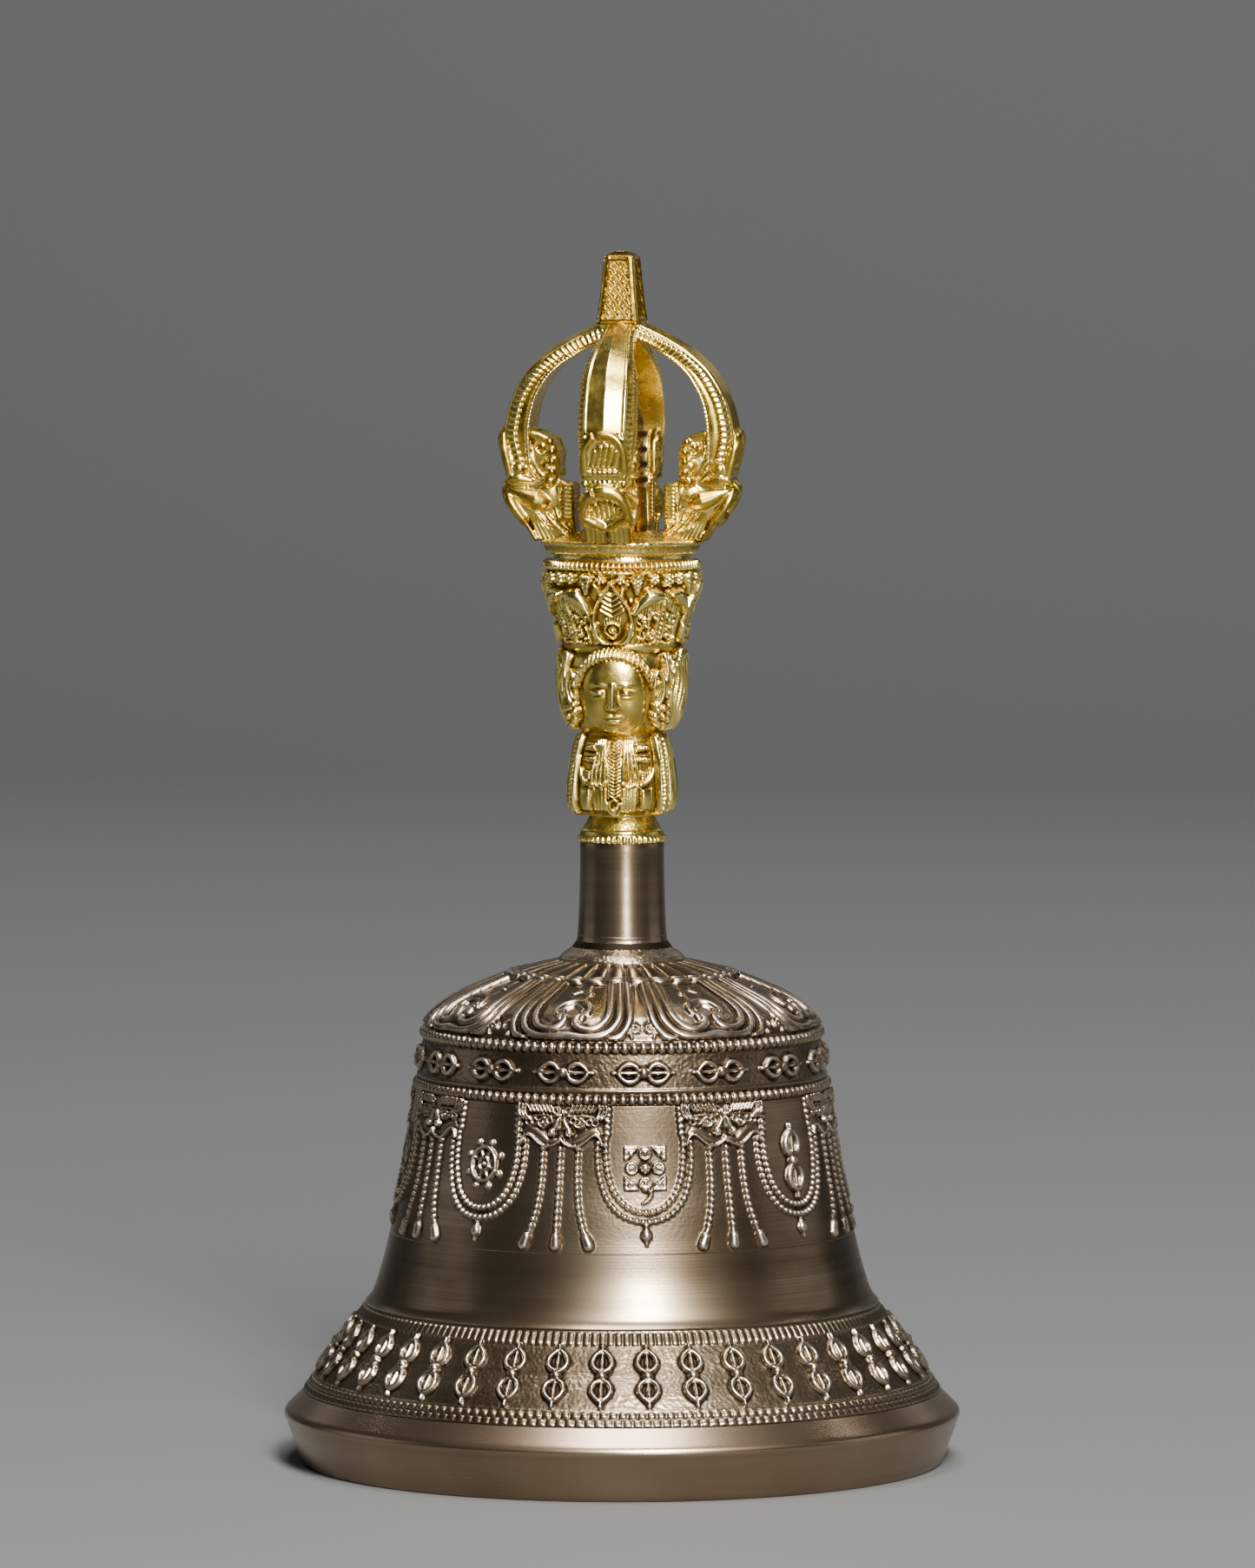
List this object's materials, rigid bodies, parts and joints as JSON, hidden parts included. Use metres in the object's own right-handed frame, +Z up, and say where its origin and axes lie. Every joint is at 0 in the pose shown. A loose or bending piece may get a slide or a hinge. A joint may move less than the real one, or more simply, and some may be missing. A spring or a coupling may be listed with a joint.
{
  "type": "tibetan bell",
  "caption": "Hand bell with a flared relief-cast body and a gilt half-vajra handle with a crowned head; an iron clapper swings inside.",
  "frame": {"origin": "centre of the mouth, on the surface that the lip stands on", "axes": "+Z up the bell's axis to the finial; -Y is the front of the handle, and a prong stands on each of +X, -X, +Y and -Y"},
  "size_m": [0.1, 0.1, 0.1789],
  "materials": {
    "bell_bronze": "antique bronze, satin turned bands, dark patina in the recesses",
    "gilt": "bright gold plating over a crisp casting",
    "iron": "forged, dark and oiled",
    "pitch": "hardened dark resin"
  },
  "bodies": {
    "bell": {"bell_shell": "bell_bronze", "neck_filling": "pitch", "hanger_rod": "iron", "handle_ferrule": "gilt", "handle_bust": "gilt", "handle_head": "gilt", "vajra_plate": "gilt", "vajra_prong_right": "gilt", "vajra_prong_back": "gilt", "vajra_prong_left": "gilt", "vajra_prong_front": "gilt", "vajra_centre_prong": "gilt"},
    "link": {"clapper_link": "iron"},
    "clapper": {"clapper": "iron"}
  },
  "joints": [
    {"name": "link_swing", "type": "hinge", "parent": "bell", "child": "link", "pos_m": [0, 0, 0.0568], "axis": [1, 0, 0], "range_deg": [-15, 15]},
    {"name": "clapper_swing", "type": "hinge", "parent": "link", "child": "clapper", "pos_m": [0, 0, 0.0521], "axis": [0, 1, 0], "range_deg": [-38, 38]}
  ]
}
